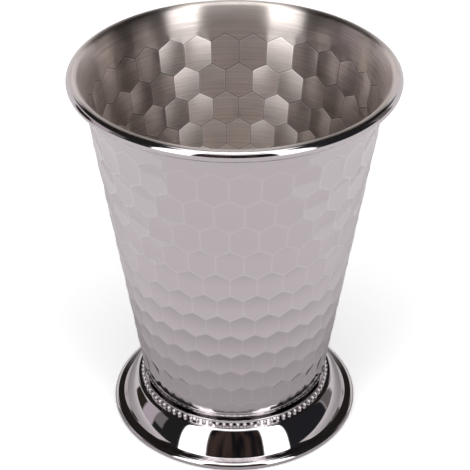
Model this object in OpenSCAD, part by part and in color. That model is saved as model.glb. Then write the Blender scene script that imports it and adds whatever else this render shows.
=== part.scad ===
// Julep cup: a hammered beaker with a rolled rim, soldered on a spun foot, with a beaded wire
// round the joint. The origin is the centre of the circle that the cup stands on, and +Z is up.

/* [Cup] */
// Height over the rim
cup_h = 110; // [95:1:125]
// Outer radius of the rolled rim
mouth_r = 45; // [42:0.5:48]
// Radius of the wall's cone where it reaches the level of the beaker's bottom
base_r = 26.5; // [24:0.5:27.5]

/* [Beaker] */
// Thickness of the beaker's sheet
beaker_sheet = 0.8; // [0.6:0.05:1]
// Outer radius of the bend between wall and bottom
corner_r = 4.5; // [2.5:0.1:5]
// Height of the plain flared band under the rim
flare_h = 7; // [6:0.25:9]
// How far the rim stands out from the top of the straight wall
flare_out = 4.4; // [4:0.1:4.8]
// Radius of the rolled rim, over its tube
rim_roll_r = 1.66; // [1.5:0.02:1.8]

/* [Hammered wall] */
// Hexagons round the wall
cells = 30; // [20:1:36]
// Rows of hexagons
rows = 11; // [6:1:12]
// Plain strip between the flared band and the middle of the top row's upper edge
plain_top = 4.1; // [3:0.1:6]
// Plain strip between the bottom bend and the middle of the lowest row's lower edge
plain_low = 3.5; // [3:0.1:6]
// Depth of a dish in the top row
dish_depth = 0.45; // [0.2:0.05:0.6]
// Turn of the pattern about the cup's axis, in degrees
pattern_turn = 4; // [0:1:12]

/* [Foot] */
// Outer radius of the foot
foot_r = 36.2; // [35:0.2:40]
// Height of the foot, to the ledge that carries the beaker
foot_h = 9.7; // [8:0.1:14]
// Thickness of the foot's sheet
foot_sheet = 0.8; // [0.6:0.05:0.9]
// Width of the flat seat under the beaker, inwards from the foot of the bottom bend
seat_w = 5; // [3:0.5:10]
// Outer radius of the crisp bend at the ledge's edge
ledge_bend = 0.3; // [0.2:0.05:0.4]
// Height of the skirt's lowest ring over the table, just inside the rolled edge
skirt_low = 1.4; // [1.3:0.05:1.6]
// Radius of the small hollow bend between the skirt and the rolled edge
skirt_bend = 0.5; // [0.4:0.1:0.8]
// Radius of the rolled edge, over its tube
foot_roll_r = 1.25; // [1.2:0.05:1.4]
// How much of the rolled edge is worn flat to stand on
foot_flat = 0.1; // [0.05:0.01:0.15]

/* [Beaded wire] */
// Beads round the wire
beads = 86; // [82:1:92]
// Radius of a bead
bead_r = 0.9; // [0.8:0.05:0.95]
// How far a bead stands out from its strip
bead_out = 1.15; // [0.9:0.05:1.3]
// Height of a bead's middle over the ledge
bead_rise = 0.6; // [0.4:0.05:0.75]
// Thickness of the strip that carries the beads
strip_t = 0.4; // [0.3:0.05:0.8]
// Height of the strip over the ledge
strip_h = 1.5; // [1.4:0.1:2.5]
// Gap between the strip and the line of the beaker's wall
strip_gap = 0.75; // [0.15:0.05:1]
// Plain rim of the ledge outside the beads
ledge_rim = 0.8; // [0.1:0.05:1.2]

/* [Hidden] */
$fn = 180;
steel = [0.78, 0.76, 0.76];
bright_steel = [0.86, 0.85, 0.86];
// Steps in a small bend, in a wide curve and in a rolled edge
bend_steps = 6;
curve_steps = 12;
roll_steps = 28;
// Overrun of a cut past the surface that it opens
over = 1;
// Angles at which the two rolled edges end, from straight outwards
rim_roll_end = -135;
foot_roll_end = -150;
// Share of a row's height by which an apex of a hexagon passes the middle of its edge
zigzag_share = 0.125;
// Share of the plain strips that belongs to the drawn parts beside the hammered band
plain_share = 0.12;
// Where the skirt's upper and lower slopes would cross, as shares of the way from the middle of
// the ledge's bend out and down to the middle of the hollow bend
knee_shares = [0.52, 0.24];

// The wall's cone: it leans out by taper, and its outer normal is wall_n
flare_z = cup_h - flare_h;
wall_top_r = mouth_r - flare_out;
slope = (wall_top_r - base_r) / (flare_z - foot_h);
taper = atan(slope);
wall_n = [cos(taper), -sin(taper)];
function wall_r(z) = base_r + (z - foot_h) * slope;
function wall_z(r) = foot_h + (r - base_r) / slope;

// The bend between wall and bottom, as the outside of the sheet takes it
corner_c = [wall_r(foot_h + corner_r) - corner_r / cos(taper), foot_h + corner_r];
corner_z = (corner_c + corner_r * wall_n)[1];

// The flare is one arc from the inside of the wall to the top of the roll, tangent to both
roll_c = [mouth_r - rim_roll_r, cup_h - rim_roll_r];
flare_start = [wall_top_r, flare_z] - beaker_sheet * wall_n;
to_start = flare_start - roll_c;
flare_r = (to_start * to_start - rim_roll_r * rim_roll_r) / (-2 * (to_start * wall_n + rim_roll_r));
flare_c = flare_start + flare_r * wall_n;
flare_end = atan2(flare_c[1] - roll_c[1], flare_c[0] - roll_c[0]) + 180;

// The hammered band, between two level cuts in the plain strips, and its rows
band_low = corner_z + plain_low * plain_share;
band_top = flare_z - plain_top * plain_share;
row_low_r = wall_r(corner_z + plain_low);
row_top_r = wall_r(flare_z - plain_top);
row_ratio = pow(row_top_r / row_low_r, 1 / rows);
corners = 2 * cells;
corner_turn = 360 / corners;
// How far the middle of a side lies inside the circle through the band's corners
side_sag = wall_top_r * (1 - cos(corner_turn / 2));

// The wire stands on the ledge, round the wall, and the ledge reaches past its beads
strip_r = wall_r(foot_h + strip_h) + strip_gap;
bead_ring_r = strip_r + strip_t + bead_out - bead_r;
ledge_r = bead_ring_r + bead_r + ledge_rim;
ledge_c = [ledge_r - ledge_bend, foot_h - ledge_bend];

// The hollow bend touches the rolled edge from outside
foot_roll_c = [foot_r - foot_roll_r, foot_roll_r - foot_flat];
bend_rise = skirt_low + skirt_bend - foot_roll_c[1];
bend_reach = skirt_bend + foot_roll_r;
bend_c = [
    foot_roll_c[0] - sqrt(bend_reach * bend_reach - bend_rise * bend_rise),
    skirt_low + skirt_bend];
roll_start = atan2(bend_rise, bend_c[0] - foot_roll_c[0]);

// The skirt is one curve between its upper and lower slopes, each tangent to the bend beside it
skirt_knee = [
    ledge_c[0] + (bend_c[0] - ledge_c[0]) * knee_shares[0],
    ledge_c[1] + (bend_c[1] - ledge_c[1]) * knee_shares[1]];
to_ledge = skirt_knee - ledge_c;
to_bend = skirt_knee - bend_c;
upper_lean = atan2(to_ledge[1], to_ledge[0]) + acos(ledge_bend / norm(to_ledge));
lower_lean = atan2(to_bend[1], to_bend[0]) - acos(-skirt_bend / norm(to_bend));
skirt_top = ledge_c + ledge_bend * [cos(upper_lean), sin(upper_lean)];
skirt_end = bend_c - skirt_bend * [cos(lower_lean), sin(lower_lean)];

function reversed(list) = [for (i = [len(list) - 1:-1:0]) list[i]];
function arc(c, r, from, to, steps) =
    [for (i = [0:steps]) let (a = from + (to - from) * i / steps) c + r * [cos(a), sin(a)]];

// The two faces of the sheet at the rim, depth being 0 inside and the sheet's thickness outside
function rim_face(depth) = concat(
    [[wall_r(band_top) - (beaker_sheet - depth) / cos(taper), band_top]],
    arc(flare_c, flare_r - depth, 180 - taper, flare_end, curve_steps),
    arc(roll_c, rim_roll_r - depth, flare_end - 360 / roll_steps / 4, rim_roll_end, roll_steps));

// The two faces of the sheet at the bottom, depth being 0 outside
function base_face(depth) = concat(
    [[0, foot_h + depth]],
    arc(corner_c, corner_r - depth, -90, -taper, curve_steps),
    [[wall_r(band_low) - depth / cos(taper), band_low]]);

// The two faces of the foot's sheet, depth being 0 on the side that shows
function skirt_face(depth) = [
    for (i = [1:curve_steps - 1])
        let (
            t = i / curve_steps,
            upper = (1 - t) * skirt_top + t * skirt_knee,
            lower = (1 - t) * skirt_knee + t * skirt_end,
            along = (lower - upper) / norm(lower - upper),
            p = (1 - t) * upper + t * lower - depth * [-along[1], along[0]])
        if (p[1] < foot_h - depth) p];
function ledge_edge(depth) =
    let (p = skirt_top - depth * [cos(upper_lean), sin(upper_lean)])
    depth < ledge_bend
        ? arc(ledge_c, ledge_bend - depth, 90, upper_lean, bend_steps)
        : [[p[0] + (p[1] - foot_h + depth) * tan(upper_lean), foot_h - depth]];
function foot_face(depth) = concat(
    [[corner_c[0] - seat_w, foot_h - depth]],
    ledge_edge(depth),
    skirt_face(depth),
    arc(bend_c, skirt_bend + depth, lower_lean - 180, roll_start - 180, bend_steps),
    arc(foot_roll_c, foot_roll_r - depth, roll_start - 360 / roll_steps / 4, foot_roll_end, roll_steps));

// A point on the wall's cone, found from the cone's radius there and sunk from its outer face
function on_wall(r, turn, sunk) =
    let (p = [r, wall_z(r)] - sunk * wall_n, a = pattern_turn + turn)
    [p[0] * cos(a), p[0] * sin(a), p[1]];
function level_ring(r, z) =
    [for (k = [0:corners - 1]) let (a = pattern_turn + k * corner_turn) [r * cos(a), r * sin(a), z]];
function zigzag(line, sunk) = [
    for (k = [0:corners - 1])
        let (up = (k + line) % 2 == 0 ? 1 : -1)
        on_wall(row_low_r * pow(row_ratio, line + up * zigzag_share), k * corner_turn, sunk)];
function wall_net(sunk, low_ring, top_ring) = concat(
    low_ring, [for (line = [0:rows]) each zigzag(line, sunk)], top_ring);
function dish_floors(sunk) = [
    for (row = [0:rows - 1], cell = [0:cells - 1])
        let (r = row_low_r * pow(row_ratio, row + 1 / 2))
        on_wall(r, (2 * cell + (row + 1) % 2) * corner_turn, sunk + dish_depth * r / row_top_r)];

// Where a point of the net, or a dish's floor, stands in the band's list of points
net_size = (rows + 3) * corners;
function at(side, line, k) = side * net_size + (line + 1) * corners + (k + corners) % corners;
function floor_at(side, row, cell) = 2 * net_size + side * rows * cells + row * cells + cell;
function quad(a, b, c, d) = [[a, b, c], [a, c, d]];
function turned(side, faces) = side == 0 ? faces : [for (f = faces) reversed(f)];
function band_edge(side, line) = [
    for (k = [0:corners - 1])
        each quad(
            at(side, line + 1, k), at(side, line + 1, k + 1),
            at(side, line, k + 1), at(side, line, k))];
function dish(side, row, cell) =
    let (
        k = 2 * cell + (row + 1) % 2,
        rim = [
            at(side, row + 1, k), at(side, row + 1, k + 1), at(side, row, k + 1),
            at(side, row, k), at(side, row, k - 1), at(side, row + 1, k - 1)])
    [for (i = [0:5]) [floor_at(side, row, cell), rim[i], rim[(i + 1) % 6]]];
function face_of_band(side) = concat(
    band_edge(side, -1), band_edge(side, rows),
    [for (row = [0:rows - 1], cell = [0:cells - 1]) each dish(side, row, cell)]);
function end_of_band(line) = [
    for (k = [0:corners - 1])
        each quad(at(0, line, k), at(1, line, k), at(1, line, k + 1), at(0, line, k + 1))];

// The hammered part of the wall: dishes outside, which stand proud inside, with ridges between
module hammered_band() {
    inset = beaker_sheet / cos(taper) - 2 * side_sag;
    points = concat(
        wall_net(
            0,
            level_ring(wall_r(band_low) - side_sag, band_low),
            level_ring(wall_r(band_top) - side_sag, band_top)),
        wall_net(
            beaker_sheet,
            level_ring(wall_r(band_low) - inset, band_low),
            level_ring(wall_r(band_top) - inset, band_top)),
        dish_floors(0),
        dish_floors(beaker_sheet));
    faces = concat(
        face_of_band(0),
        turned(1, face_of_band(1)),
        end_of_band(rows + 1),
        turned(1, end_of_band(-1)));
    polyhedron(points, faces, convexity = 6);
}

// One drawn sheet: closed bottom, hammered wall, flared mouth and rolled rim
module beaker() {
    color(steel) {
        rotate_extrude() polygon(concat(base_face(0), reversed(base_face(beaker_sheet))));
        hammered_band();
        rotate_extrude() polygon(concat(rim_face(0), reversed(rim_face(beaker_sheet))));
    }
}

// One spun sheet: seat and ledge, rounded skirt and rolled edge, flat where it stands
module foot() {
    color(bright_steel)
        difference() {
            rotate_extrude() polygon(concat(foot_face(0), reversed(foot_face(foot_sheet))));
            translate([0, 0, -over]) cylinder(r = foot_r + over, h = over);
        }
}

// The beaded wire soldered on the ledge: a plain strip with a row of round beads
module bead_ring() {
    color(bright_steel)
        difference() {
            union() {
                rotate_extrude() translate([strip_r, foot_h]) square([strip_t, strip_h]);
                for (i = [0:beads - 1])
                    rotate([0, 0, 360 * i / beads])
                        translate([bead_ring_r, 0, foot_h + bead_rise]) sphere(bead_r, $fn = 32);
            }
            translate([0, 0, foot_h - bead_r]) cylinder(r = ledge_r, h = bead_r);
            translate([0, 0, foot_h - bead_r]) cylinder(r = strip_r, h = bead_r + strip_h + over);
        }
}

beaker();
foot();
bead_ring();
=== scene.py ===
"""A julep cup: a beaker of hammered steel on a spun foot, with a beaded wire round the joint."""

import math

import bmesh
import bpy
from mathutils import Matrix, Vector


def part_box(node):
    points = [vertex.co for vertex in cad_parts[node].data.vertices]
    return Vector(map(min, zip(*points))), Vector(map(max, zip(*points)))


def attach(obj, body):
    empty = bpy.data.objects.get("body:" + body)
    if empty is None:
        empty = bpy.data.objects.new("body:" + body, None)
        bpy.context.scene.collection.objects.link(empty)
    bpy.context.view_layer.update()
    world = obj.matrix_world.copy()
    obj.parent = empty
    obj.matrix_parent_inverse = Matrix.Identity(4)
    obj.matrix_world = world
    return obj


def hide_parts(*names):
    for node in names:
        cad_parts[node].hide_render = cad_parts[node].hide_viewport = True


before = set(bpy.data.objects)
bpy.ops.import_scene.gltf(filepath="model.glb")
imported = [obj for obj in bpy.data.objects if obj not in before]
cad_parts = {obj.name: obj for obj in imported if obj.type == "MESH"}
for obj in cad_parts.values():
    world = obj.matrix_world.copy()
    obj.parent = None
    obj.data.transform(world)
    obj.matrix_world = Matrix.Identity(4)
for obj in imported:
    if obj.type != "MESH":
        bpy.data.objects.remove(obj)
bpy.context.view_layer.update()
mm = 0.001


# Hammered wall: the beaker is drawn from one steel sheet, and its wall is pressed with rows of
# hexagonal dishes, shallow bowls outside that stand proud inside. One dish is modelled flat and
# set out in rows, and the flat net of dishes is then closed round the wall's cone.

beaker_low, beaker_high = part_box("beaker")
cup_h = beaker_high.z
mouth_r = beaker_high.x
foot_h = beaker_low.z
base_r = 26.5 * mm
sheet = 0.8 * mm
flare_h = 7 * mm
flare_out = 4.4 * mm
corner_r = 4.5 * mm
cells = 30
rows = 11
plain_top = 2.7 * mm
plain_low = 4.1 * mm
dish_depth = 0.45 * mm
pattern_turn = math.radians(4)
side_cuts = 4
net_gap = 0.02 * mm

flare_z = cup_h - flare_h
slope = (mouth_r - flare_out - base_r) / (flare_z - foot_h)
taper = math.atan(slope)


def wall_r(z):
    """Radius of the wall's cone at a level."""
    return base_r + (z - foot_h) * slope


def wall_z(r):
    """Level at which the wall's cone has a radius."""
    return foot_h + (r - base_r) / slope


corner_z = foot_h + corner_r
corner_centre = (wall_r(corner_z) - corner_r / math.cos(taper), corner_z)
bend_top_z = corner_z - corner_r * math.sin(taper)
row_low_r = wall_r(bend_top_z + plain_low)
row_top_r = wall_r(flare_z - plain_top)
row_ratio = (row_top_r / row_low_r) ** (1 / rows)


def let_go():
    """Deselects every object."""
    bpy.ops.object.select_all(action="DESELECT")


def name_it(name):
    """Names the object that was just added, and its mesh."""
    piece = bpy.context.object
    piece.name = name
    piece.data.name = name
    return piece


def pick(piece, wanted):
    """Selects the points of a piece in edit mode whose place passes a test."""
    shape = bmesh.from_edit_mesh(piece.data)
    for point in shape.verts:
        point.select_set(bool(wanted(point.co)))
    shape.select_flush_mode()
    bmesh.update_edit_mesh(piece.data)


# The dish's hexagon stands on a corner. Its unit is a cell's width across and a row's pitch up,
# and in that unit its six corners lie on one circle. Its points lie in rings, and each ring has
# a mark, 0 well inside the dish and 1 on its edge, which places the painted highlights and the
# painted shade of the grooves.
half_unit = 0.5
apex_share = 0.625
shoulder_share = 0.375
side_fall = (apex_share - shoulder_share) / half_unit
ring_shares = (0, 0.3, 0.56, 0.78, 0.93, 1)
edge_marks = (0, 0, 0, 0, 0.45, 1)

let_go()
bpy.ops.mesh.primitive_circle_add(vertices=6, radius=apex_share, fill_type="TRIFAN")
wall = name_it("hammered_beaker")
bpy.ops.object.mode_set(mode="EDIT")
bpy.ops.mesh.select_mode(type="VERT")
pick(wall, lambda at: abs(at.x) > apex_share / 2)
to_shoulder = (
    half_unit / (apex_share * math.cos(math.pi / 6)),
    shoulder_share / (apex_share / 2),
    1,
)
bpy.ops.transform.resize(value=to_shoulder, center_override=(0, 0, 0))
bpy.ops.mesh.select_all(action="SELECT")
bpy.ops.mesh.subdivide(number_cuts=side_cuts)
shape = bmesh.from_edit_mesh(wall.data)
dish_edge = shape.verts.layers.float.new("dish_edge")
for point in shape.verts:
    to_side = abs(point.co.x) / half_unit
    to_slope = (abs(point.co.y) + abs(point.co.x) * side_fall) / apex_share
    reach = max(to_side, to_slope)
    ring = round(reach * (side_cuts + 1))
    if ring:
        point.co *= ring_shares[ring] / reach
    point.co.z = 1 - (point.co.x**2 + point.co.y**2) / apex_share**2
    point[dish_edge] = edge_marks[ring]
bmesh.update_edit_mesh(wall.data)

# Rows go up the net, each half a cell to the side of the last
bpy.ops.mesh.select_all(action="SELECT")
bpy.ops.transform.translate(value=(half_unit, 0, 0))
bpy.ops.object.mode_set(mode="OBJECT")
bpy.ops.object.modifier_add(type="ARRAY")
round_the_cup = wall.modifiers[-1]
round_the_cup.count = cells
round_the_cup.use_relative_offset = False
round_the_cup.use_constant_offset = True
round_the_cup.constant_offset_displace = (1, 0, 0)
bpy.ops.object.modifier_apply(modifier=round_the_cup.name)
bpy.ops.object.mode_set(mode="EDIT")
bpy.ops.mesh.select_all(action="SELECT")
for row in range(1, rows):
    aside = -half_unit if row % 2 else half_unit
    bpy.ops.mesh.duplicate_move(TRANSFORM_OT_translate={"value": (aside, 1, 0)})
bpy.ops.object.mode_set(mode="OBJECT")

# Closing the net round the cone: across goes round the cup, and up goes up the wall
for point in wall.data.vertices:
    across, up, sunk = point.co
    r = row_low_r * row_ratio ** (up + half_unit)
    depth = sunk * dish_depth * r / row_top_r
    turn = pattern_turn + math.tau * across / cells
    out = r - depth * math.cos(taper)
    point.co = (
        out * math.cos(turn),
        out * math.sin(turn),
        wall_z(r) + depth * math.sin(taper),
    )
bpy.ops.object.mode_set(mode="EDIT")
bpy.ops.mesh.select_all(action="SELECT")
bpy.ops.mesh.remove_doubles(threshold=net_gap)
bpy.ops.mesh.normals_make_consistent(inside=False)


# The rest of the beaker's sheet: plain strips above and below the dishes, the bend into the
# closed bottom, the flared mouth, and the edge rolled outwards into a tube. Each is drawn on
# ring by ring from the hammered wall, and the sheet then gets its thickness inwards.

rim_roll_r = 1.66 * mm
rim_roll_end = math.radians(-135)
plain_share = 0.12
mark_w = 0.25 * mm
bottom_shares = (0.75, 0.5, 0.25, 0.05)
flare_steps = 14
corner_steps = 12
roll_steps = 30


def on_circle(centre, radius, turn):
    """A point of a circle in the section, as (distance from the axis, level)."""
    return (centre[0] + radius * math.cos(turn), centre[1] + radius * math.sin(turn))


def arc(centre, radius, start, end, steps):
    """Points of an arc in the section, both ends among them."""
    turns = [start + (end - start) * i / steps for i in range(steps + 1)]
    return [on_circle(centre, radius, turn) for turn in turns]


def end_the_mark(piece, rise):
    """Draws the selected edge a little way up the wall's cone, to where the dishes' mark ends."""
    bpy.ops.mesh.extrude_edges_move()
    shape = bmesh.from_edit_mesh(piece.data)
    mark = shape.verts.layers.float["dish_edge"]
    for point in shape.verts:
        if point.select:
            out = 1 + rise * slope / math.hypot(point.co.x, point.co.y)
            point.co = (point.co.x * out, point.co.y * out, point.co.z + rise)
            point[mark] = 0
    bmesh.update_edit_mesh(piece.data)


def draw_on(piece, section):
    """Draws the selected edge of a piece on through rings of (distance from the axis, level)."""
    for radius, level in section:
        bpy.ops.mesh.extrude_edges_move()
        shape = bmesh.from_edit_mesh(piece.data)
        for point in shape.verts:
            if point.select:
                out = radius / math.hypot(point.co.x, point.co.y)
                point.co = (point.co.x * out, point.co.y * out, level)
        bmesh.update_edit_mesh(piece.data)


def pick_open_edge(piece, wanted):
    """Selects the open edges of a piece whose two ends both pass a test on their place."""
    shape = bmesh.from_edit_mesh(piece.data)
    for edge in shape.edges:
        edge.select_set(False)
    for edge in shape.edges:
        if edge.is_boundary and all(wanted(point.co) for point in edge.verts):
            edge.select_set(True)
    bmesh.update_edit_mesh(piece.data)


# The sheet's inner face flares in one arc, tangent to the wall below it and to the rolled edge
roll_centre = (mouth_r - rim_roll_r, cup_h - rim_roll_r)
wall_normal = (math.cos(taper), -math.sin(taper))
flare_start = (
    mouth_r - flare_out - sheet * wall_normal[0],
    flare_z - sheet * wall_normal[1],
)
to_start = (flare_start[0] - roll_centre[0], flare_start[1] - roll_centre[1])
flare_r = (to_start[0] ** 2 + to_start[1] ** 2 - rim_roll_r**2) / (
    -2 * (to_start[0] * wall_normal[0] + to_start[1] * wall_normal[1] + rim_roll_r)
)
flare_centre = (
    flare_start[0] + flare_r * wall_normal[0],
    flare_start[1] + flare_r * wall_normal[1],
)
flare_end = math.pi + math.atan2(
    flare_centre[1] - roll_centre[1], flare_centre[0] - roll_centre[0]
)
band_top = flare_z - plain_top * plain_share
band_low = bend_top_z + plain_low * plain_share
middle_z = (band_top + band_low) / 2

pick_open_edge(wall, lambda at: at.z > middle_z)
end_the_mark(wall, mark_w)
draw_on(
    wall,
    [(wall_r(band_top), band_top)]
    + arc(flare_centre, flare_r - sheet, math.pi - taper, flare_end, flare_steps)
    + arc(roll_centre, rim_roll_r - sheet, flare_end, rim_roll_end, roll_steps)[1:],
)
pick_open_edge(wall, lambda at: at.z < middle_z)
end_the_mark(wall, -mark_w)
draw_on(
    wall,
    [(wall_r(band_low), band_low)]
    + arc(corner_centre, corner_r, -taper, -math.pi / 2, corner_steps)
    + [(corner_centre[0] * share, foot_h) for share in bottom_shares],
)
bpy.ops.mesh.merge(type="CENTER")
bpy.ops.object.mode_set(mode="OBJECT")
wall.data.materials.append(bpy.data.materials.new("polished_hammered_steel"))
wall.data.materials.append(bpy.data.materials.new("brushed_steel"))
bpy.ops.object.modifier_add(type="SOLIDIFY")
thickness = wall.modifiers[-1]
thickness.thickness = sheet
thickness.offset = -1
thickness.use_even_offset = True
thickness.use_quality_normals = True
thickness.material_offset = 1
bpy.ops.object.modifier_apply(modifier=thickness.name)
bpy.ops.object.shade_smooth()


# Steel of the beaker: mirror-polished outside, with a painted highlight making the ridges between
# the dishes lighter, and brushed round the cup inside, with painted shade darkening every groove
# and a painted highlight just beside it.

polished_colour = (0.63, 0.598, 0.612, 1)
polished_rough = (0.05, 0.11)
# Painted highlight: the lighter colour given to the ridges between the dishes outside
painted_ridge_highlight_colour = (0.8, 0.775, 0.785, 1)
ridge_highlight_marks = (0.3, 1)
ridge_highlight_share = 0.35
ripple = 6 * mm
ripple_detail = 3
ripple_h = 0.1 * mm
ripple_strength = 0.2
brushed_dark = (0.62, 0.555, 0.52, 1)
brushed_light = (0.82, 0.755, 0.72, 1)
brushed_rough = (0.34, 0.28)
# Inside: a painted highlight just within each dish's edge, and painted shade darkening the groove
painted_edge_highlight_colour = (0.92, 0.87, 0.84, 1)
highlight_start_marks = (0.25, 0.45)
highlight_end_marks = (0.5, 0.65)
edge_highlight_share = 0.7
painted_groove_shade_colour = (0.13, 0.11, 0.105, 1)
groove_shade_marks = (0.6, 0.85)
groove_shade_share = 0.7
stroke_pitch = 0.34 * mm
stroke_detail = 3
stroke_h = 0.03 * mm
stroke_strength = 0.2
strokes_round = 2.5
middle_r = 1 * mm
noise_span = (0.3, 0.7)
quarter_turn = 0.25
lip_r = 43.8 * mm


def math_node(kind, first, second=None):
    """A math node of the material in hand, on sockets or plain numbers."""
    node = nodes.new("ShaderNodeMath")
    node.operation = kind
    for socket, value in zip(node.inputs, (first, second)):
        if value is None:
            continue
        if isinstance(value, (int, float)):
            socket.default_value = value
        else:
            links.new(value, socket)
    return node.outputs[0]


def scaled(value, low, high, at_low=0, at_high=1, smooth=False):
    """A value's place between two limits, from one number to another and held at the ends."""
    node = nodes.new("ShaderNodeMapRange")
    node.interpolation_type = "SMOOTHSTEP" if smooth else "LINEAR"
    links.new(value, node.inputs["Value"])
    names = ("From Min", "From Max", "To Min", "To Max")
    for name, limit in zip(names, (low, high, at_low, at_high)):
        node.inputs[name].default_value = limit
    return node.outputs["Result"]


def mix(factor, first, second):
    """A mix of two colours by a socket."""
    node = nodes.new("ShaderNodeMix")
    node.data_type = "RGBA"
    links.new(factor, node.inputs["Factor"])
    for name, value in (("A", first), ("B", second)):
        if isinstance(value, tuple):
            node.inputs[name].default_value = value
        else:
            links.new(value, node.inputs[name])
    return node.outputs["Result"]


def noise(place, scale, detail):
    """A noise of the material in hand over a vector."""
    node = nodes.new("ShaderNodeTexNoise")
    node.inputs["Scale"].default_value = scale
    node.inputs["Detail"].default_value = detail
    links.new(place, node.inputs["Vector"])
    return node.outputs["Fac"]


def bump(height, strength, distance):
    """Raises the surface of the steel in hand by a height."""
    node = nodes.new("ShaderNodeBump")
    node.inputs["Strength"].default_value = strength
    node.inputs["Distance"].default_value = distance
    links.new(height, node.inputs["Height"])
    links.new(node.outputs["Normal"], steel.inputs["Normal"])


def split_up(place):
    """The x, y and z of a vector."""
    node = nodes.new("ShaderNodeSeparateXYZ")
    links.new(place, node.inputs[0])
    return node.outputs[:]


def put_together(*parts):
    """A vector of two or three sockets."""
    node = nodes.new("ShaderNodeCombineXYZ")
    for value, socket in zip(parts, node.inputs):
        links.new(value, socket)
    return node.outputs[0]


def distance_from_axis(x, y):
    """The distance of a place from the cup's axis."""
    squares = math_node("ADD", math_node("POWER", x, 2), math_node("POWER", y, 2))
    return math_node("POWER", squares, 1 / 2)


def start_steel(material):
    """Opens a material and makes it a metal, and gives its nodes, links, shader and place."""
    material.use_nodes = True
    shader = material.node_tree.nodes["Principled BSDF"]
    shader.inputs["Metallic"].default_value = 1
    place = material.node_tree.nodes.new("ShaderNodeTexCoord").outputs["Object"]
    return material.node_tree.nodes, material.node_tree.links, shader, place


def mark_on_edges():
    """The mark that each dish keeps on its edge."""
    node = nodes.new("ShaderNodeAttribute")
    node.attribute_name = "dish_edge"
    return node.outputs["Fac"]


polished, brushed = wall.data.materials
nodes, links, steel, place = start_steel(polished)
# Painted highlight: the base colour is lightened along each dish's edge mark, on the ridges
ridge_highlight = scaled(mark_on_edges(), *ridge_highlight_marks, 0, ridge_highlight_share)
links.new(mix(ridge_highlight, polished_colour, painted_ridge_highlight_colour), steel.inputs["Base Color"])
haze = noise(place, 1 / ripple, ripple_detail)
links.new(scaled(haze, *noise_span, *polished_rough), steel.inputs["Roughness"])
bump(haze, ripple_strength, ripple_h)

# The brush went round the cup, so its strokes are long round the axis and fine along the sheet
nodes, links, steel, place = start_steel(brushed)
x, y, z = split_up(place)
from_axis = math_node("MAXIMUM", distance_from_axis(x, y), middle_r)
strokes = put_together(
    math_node("MULTIPLY", math_node("DIVIDE", x, from_axis), strokes_round),
    math_node("MULTIPLY", math_node("DIVIDE", y, from_axis), strokes_round),
    math_node("DIVIDE", math_node("ADD", z, from_axis), stroke_pitch),
)
stroke = noise(strokes, 1, stroke_detail)
tone = mix(scaled(stroke, *noise_span), brushed_dark, brushed_light)
edge = mark_on_edges()
# Painted highlight in a band just inside each dish's edge, then painted shade darkening the
# groove itself
highlight_start = scaled(edge, *highlight_start_marks, 0, edge_highlight_share)
highlight_end = scaled(edge, *highlight_end_marks, 1, 0)
tone = mix(math_node("MULTIPLY", highlight_start, highlight_end), tone, painted_edge_highlight_colour)
tone = mix(scaled(edge, *groove_shade_marks, 0, groove_shade_share), tone, painted_groove_shade_colour)
links.new(tone, steel.inputs["Base Color"])
links.new(scaled(stroke, *noise_span, *brushed_rough), steel.inputs["Roughness"])
bump(stroke, stroke_strength, stroke_h)
steel.inputs["Anisotropic"].default_value = 1
steel.inputs["Anisotropic Rotation"].default_value = quarter_turn
tangent = nodes.new("ShaderNodeTangent")
tangent.direction_type = "RADIAL"
tangent.axis = "Z"
links.new(tangent.outputs["Tangent"], steel.inputs["Tangent"])

# Brushing stops short of the lip, which is polished all over
for face in wall.data.polygons:
    if face.material_index and math.hypot(face.center.x, face.center.y) > lip_r:
        face.material_index = 0
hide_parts("beaker")
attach(wall, "root")


# Foot: one spun sheet with a seat under the beaker, a ledge with a rounded shoulder, a skirt, a
# narrow flat brim, and a rolled edge that the cup stands on. It is polished to a mirror.

foot_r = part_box("foot")[1].x
wire_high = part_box("bead_ring")[1]
seat_w = 5 * mm
ledge_rim = 0.8 * mm
ledge_bend = 1.3 * mm
upper_lean = math.radians(41.6)
lower_lean = math.radians(22)
skirt_bend = 0.25 * mm
brim_w = 1.5 * mm
foot_roll_r = 1.25 * mm
foot_roll_end = math.radians(-150)
foot_flat = 0.1 * mm
foot_sides = 256
skirt_steps = 16
bend_steps = 8
seam_gap = 0.01 * mm
smooth_under = math.radians(35)
mirror_colour = (0.64, 0.61, 0.62, 1)
mirror_rough = (0.02, 0.06)
mirror_detail = 4
mirror_ripple_h = 0.05 * mm
mirror_ripple_strength = 0.1

seat_r = corner_centre[0]
hole_r = seat_r - seat_w
seat_low = foot_h - sheet
ledge_r = wire_high.x + ledge_rim
ledge_centre = (ledge_r - ledge_bend, foot_h - ledge_bend)
foot_roll_centre = (foot_r - foot_roll_r, foot_roll_r - foot_flat)
brim_z = foot_roll_centre[1] + foot_roll_r
bend_centre = (foot_roll_centre[0] - brim_w, brim_z + skirt_bend)

# The skirt is one curve, tangent to the bends above and below it. Its upper and lower slopes,
# drawn on straight, would meet at the knee.
skirt_top = on_circle(ledge_centre, ledge_bend, upper_lean)
skirt_end = on_circle(bend_centre, skirt_bend, lower_lean - math.pi)
skirt_w = skirt_end[0] - skirt_top[0]
skirt_h = skirt_top[1] - skirt_end[1]
to_knee = (skirt_w * math.cos(lower_lean) - skirt_h * math.sin(lower_lean)) / math.sin(
    upper_lean - lower_lean
)
knee = (
    skirt_top[0] + to_knee * math.sin(upper_lean),
    skirt_top[1] - to_knee * math.cos(upper_lean),
)


def between(first, second, share):
    """The point at a share of the way from one point to another."""
    return [(1 - share) * a + share * b for a, b in zip(first, second)]


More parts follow.
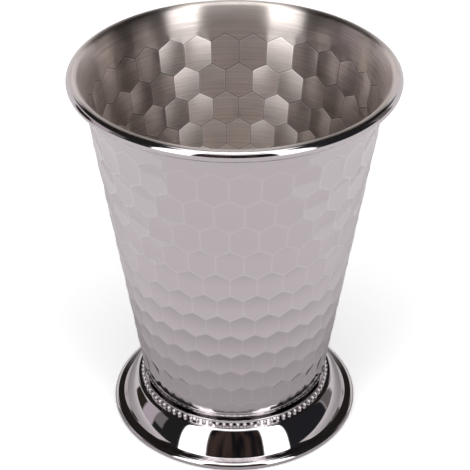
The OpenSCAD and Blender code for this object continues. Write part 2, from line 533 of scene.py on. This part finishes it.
def skirt_face(depth):
    """The skirt's section at a depth in the sheet, no higher than the seat's at that depth."""
    points = []
    for i in range(1, skirt_steps):
        share = i / skirt_steps
        upper = between(skirt_top, knee, share)
        lower = between(knee, skirt_end, share)
        along = (lower[0] - upper[0], lower[1] - upper[1])
        sunk = depth / math.hypot(*along)
        out, level = between(upper, lower, share)
        out += sunk * along[1]
        level -= sunk * along[0]
        if level < foot_h - depth:
            points.append((out, level))
    return points


def rolled_edge(depth):
    """The hollow bend, the flat brim and the rolled edge at a depth in the sheet."""
    bend = arc(bend_centre, skirt_bend + depth, lower_lean - math.pi, -math.pi / 2, bend_steps)
    roll = arc(foot_roll_centre, foot_roll_r - depth, math.pi / 2, foot_roll_end, roll_steps)
    return bend + roll


# Under the ledge, the seat's lower face runs on until it meets the skirt's
under_top = on_circle(ledge_centre, ledge_bend - sheet, upper_lean)
under_r = under_top[0] + (under_top[1] - seat_low) * math.tan(upper_lean)
underside = [(hole_r, seat_low), (seat_r, seat_low), (under_r, seat_low)]
underside += skirt_face(sheet) + rolled_edge(sheet)

let_go()
bpy.ops.mesh.primitive_circle_add(vertices=foot_sides, radius=hole_r, location=(0, 0, foot_h))
foot = name_it("spun_foot")
bpy.ops.object.transform_apply(location=True, rotation=False, scale=False)
bpy.ops.object.mode_set(mode="EDIT")
bpy.ops.mesh.select_all(action="SELECT")
draw_on(
    foot,
    [(seat_r, foot_h)]
    + arc(ledge_centre, ledge_bend, math.pi / 2, upper_lean, bend_steps)
    + skirt_face(0)
    + rolled_edge(0)
    + underside[::-1]
    + [(hole_r, foot_h)],
)
bpy.ops.mesh.select_all(action="SELECT")
bpy.ops.mesh.remove_doubles(threshold=seam_gap)
bpy.ops.mesh.normals_make_consistent(inside=False)

# The lowest part of the rolled edge is pressed flat, for the cup to stand on
pick(foot, lambda at: at.z < 0)
bpy.ops.transform.resize(value=(1, 1, 0), center_override=(0, 0, 0))
bpy.ops.object.mode_set(mode="OBJECT")
bpy.ops.object.shade_smooth_by_angle(angle=smooth_under)

chrome = bpy.data.materials.new("mirror_steel")
nodes, links, steel, place = start_steel(chrome)
steel.inputs["Base Color"].default_value = mirror_colour
haze = noise(place, 1 / ripple, mirror_detail)
links.new(scaled(haze, *noise_span, *mirror_rough), steel.inputs["Roughness"])
bump(haze, mirror_ripple_strength, mirror_ripple_h)
foot.data.materials.append(chrome)
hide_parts("foot")
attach(foot, "root")


# Beaded wire: a plain strip with a row of round beads, soldered on the foot's ledge close round
# the beaker. One bead is modelled and copied round the strip, in the foot's mirror steel.

beads = 86
bead_r = 0.6 * mm
bead_rise = 0.45 * mm
bead_clear = 0.1 * mm
bead_subdivisions = 3
wire_w = 2.1 * mm
strip_t = 0.4 * mm
strip_edge = 0.12 * mm
edge_steps = 3

strip_r = wire_high.x - wire_w
strip_out_r = strip_r + strip_t
bead_ring_r = strip_out_r + bead_clear
edge_z = wire_high.z - strip_edge

let_go()
bpy.ops.mesh.primitive_ico_sphere_add(
    subdivisions=bead_subdivisions,
    radius=bead_r,
    location=(bead_ring_r, 0, foot_h + bead_rise),
)
wire = name_it("beaded_wire")
bpy.ops.object.transform_apply(location=True, rotation=False, scale=False)
bpy.ops.object.mode_set(mode="EDIT")

# Each bead is cut off where it meets the ledge, and again inside the strip
for cut_at, cut_normal in (
    ((0, 0, foot_h), (0, 0, 1)),
    ((strip_r + strip_t / 2, 0, 0), (1, 0, 0)),
):
    bpy.ops.mesh.select_all(action="SELECT")
    bpy.ops.mesh.bisect(plane_co=cut_at, plane_no=cut_normal, use_fill=True, clear_inner=True)
bpy.ops.mesh.select_all(action="SELECT")
for _ in range(beads - 1):
    bpy.ops.mesh.duplicate()
    bpy.ops.transform.rotate(
        value=math.tau / beads, orient_axis="Z", center_override=(0, 0, 0)
    )
bpy.ops.mesh.select_all(action="DESELECT")
bpy.ops.mesh.primitive_circle_add(vertices=foot_sides, radius=strip_r, location=(0, 0, foot_h))
draw_on(
    wire,
    arc((strip_r + strip_edge, edge_z), strip_edge, math.pi, math.pi / 2, edge_steps)
    + arc((strip_out_r - strip_edge, edge_z), strip_edge, math.pi / 2, 0, edge_steps)
    + [(strip_out_r, foot_h), (strip_r, foot_h)],
)
bpy.ops.mesh.select_all(action="SELECT")
bpy.ops.mesh.remove_doubles(threshold=seam_gap)
bpy.ops.mesh.normals_make_consistent(inside=False)
bpy.ops.object.mode_set(mode="OBJECT")
bpy.ops.object.shade_smooth_by_angle(angle=smooth_under)
wire.data.materials.append(chrome)
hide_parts("bead_ring")
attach(wire, "root")


# Studio: a strip of pale paper under the cup, two tall soft boxes in front of it with a folded
# dark cloth between them, and black cloths and a few cards at the sides. The walls are pale low
# down and draped dark high up, and a wide light hangs overhead.

paper_w = 220 * mm
paper_l = 1200 * mm
squares_across = 12
squares_along = 60
# The paper's tone in the steel right next to the cup is a painted shadow, darker than its far
# tone
paper_painted_shade = (0.63, 0.60, 0.61, 1)
paper_far = (0.94, 0.90, 0.91, 1)
paper_bounce = (0.76, 0.73, 0.74, 1)
paper_rough = 0.9
paper_glow = 0.4
painted_shade_full_r = 36 * mm
painted_shade_end_r = 85 * mm
white = (1, 1, 1, 1)

let_go()
bpy.ops.mesh.primitive_grid_add(
    x_subdivisions=squares_across, y_subdivisions=squares_along, size=1
)
floor = name_it("paper_floor")
floor.scale = (paper_w, paper_l, 1)
bpy.ops.object.transform_apply(location=False, rotation=False, scale=True)
paper = bpy.data.materials.new("white_paper")
paper.use_nodes = True
nodes, links = paper.node_tree.nodes, paper.node_tree.links
sheet_of_paper = nodes["Principled BSDF"]
sheet_of_paper.inputs["Roughness"].default_value = paper_rough
sheet_of_paper.inputs["Specular IOR Level"].default_value = 0
x, y = split_up(nodes.new("ShaderNodeTexCoord").outputs["Object"])[:2]
# Painted shadow: seen in the steel, the paper darkens towards the cup and fades out with distance
# from the axis
painted_shade_fade = scaled(distance_from_axis(x, y), painted_shade_full_r, painted_shade_end_r, smooth=True)
paths = nodes.new("ShaderNodeLightPath")
tone = mix(painted_shade_fade, paper_painted_shade, paper_far)
tone = mix(paths.outputs["Is Glossy Ray"], paper_bounce, tone)
tone = mix(paths.outputs["Is Camera Ray"], tone, white)
links.new(tone, sheet_of_paper.inputs["Base Color"])
sheet_of_paper.inputs["Emission Color"].default_value = white
glow = math_node("MULTIPLY", paths.outputs["Is Camera Ray"], paper_glow)
links.new(glow, sheet_of_paper.inputs["Emission Strength"])
floor.data.materials.append(paper)

# Places on the walls are in degrees: round from straight in front of the cup, and up from level
fold_w = 8
fold_l = 60
fold_span = (0.35, 0.65)
all_round = 200
past_top = 120
pale_wall = (0.80, 0.77, 0.78, 1)
dark_drape = (0.02, 0.018, 0.016, 1)
white_screen = (0.9, 0.88, 0.88, 1)
fold_dark = (0.008, 0.008, 0.01, 1)
fold_light = (0.06, 0.04, 0.034, 1)
lilac_card = (0.58, 0.51, 0.56, 1)
brown_card = (0.035, 0.025, 0.02, 1)
grey_card = (0.22, 0.205, 0.215, 1)
dark_grey_card = (0.17, 0.155, 0.155, 1)
left_cloth = (0.02, 0.02, 0.02, 1)
right_cloth = (0.02, 0.02, 0.024, 1)
soft_box = (2.9, 2.9, 2.9, 1)
ceiling = (1.2, 1.2, 1.2, 1)
ceiling_light = (3.7, 3.7, 3.7, 1)

world = bpy.data.worlds.new("studio")
bpy.context.scene.world = world
world.use_nodes = True
nodes, links = world.node_tree.nodes, world.node_tree.links
x, y, z = split_up(nodes.new("ShaderNodeTexCoord").outputs["Generated"])
in_degrees = 180 / math.pi
azimuth = math_node("ARCTAN2", x, math_node("MULTIPLY", y, -1))
azimuth = math_node("MULTIPLY", azimuth, in_degrees)
level = math_node("MULTIPLY", math_node("ARCSINE", z), in_degrees)


def panel(left, right, low, high, soft):
    """1 inside a part of the studio's walls, with edges as soft as given, and 0 outside it."""
    sides = []
    for value, start, stop in ((azimuth, left, right), (level, low, high)):
        rise = scaled(value, start - soft, start + soft, smooth=True)
        fall = scaled(value, stop - soft, stop + soft, 1, 0, smooth=True)
        sides.append(math_node("MULTIPLY", rise, fall))
    return math_node("MULTIPLY", *sides)


folds = put_together(
    math_node("DIVIDE", azimuth, fold_w),
    math_node("DIVIDE", level, fold_l),
)
folded_cloth = mix(scaled(noise(folds, 1, 1), *fold_span, smooth=True), fold_dark, fold_light)

# Each hangs over those before it: left, right, lower and upper edge, softness and colour
colour = pale_wall
for left, right, low, high, soft, tone in (
    (-all_round, all_round, 34, 70, 3, dark_drape),
    (-140, -86, 22, 70, 3, dark_drape),
    (102, 142, 22, 70, 3, dark_drape),
    (-60, 60, 40, 70, 2, white_screen),
    (-27, 28, -3, 46, 2, folded_cloth),
    (-104, -86, -20, 24, 1.2, lilac_card),
    (-123, -103, -20, 13, 1.5, brown_card),
    (-86, -53, -6, 66, 1.2, left_cloth),
    (-86, -74, 3, 23, 1, grey_card),
    (52, 103, -4, 66, 1.2, right_cloth),
    (103, 121, -8, 30, 3, dark_grey_card),
    (-53, -27, -4, 63, 1.2, soft_box),
    (28, 52, -4, 63, 1.2, soft_box),
    (-all_round, all_round, 69, past_top, 2, ceiling),
    (-80, 80, 69, past_top, 2, ceiling_light),
):
    colour = mix(panel(left, right, low, high, soft), colour, tone)
paths = nodes.new("ShaderNodeLightPath")
colour = mix(paths.outputs["Is Camera Ray"], colour, white)
links.new(colour, nodes["Background"].inputs["Color"])


# Camera: a long lens above the cup, tilted down at it from where the photograph was taken. Its
# place and its lens were fitted to the cup's outline in the photograph.

view_height = 54.247 * mm
view_distance = 445.17 * mm
view_rise = math.radians(33.448)
film_w = 36
lens_length = 119.21
shift_right = 0.00106
shift_up = 0.01823

bpy.ops.object.camera_add(
    location=(
        0,
        -view_distance * math.cos(view_rise),
        view_height + view_distance * math.sin(view_rise),
    ),
    rotation=(math.pi / 2 - view_rise, 0, 0),
)
camera = bpy.context.object
camera.data.sensor_width = film_w
camera.data.lens = lens_length
camera.data.shift_x = shift_right
camera.data.shift_y = shift_up
bpy.context.scene.camera = camera
bpy.context.scene.view_settings.view_transform = "Standard"
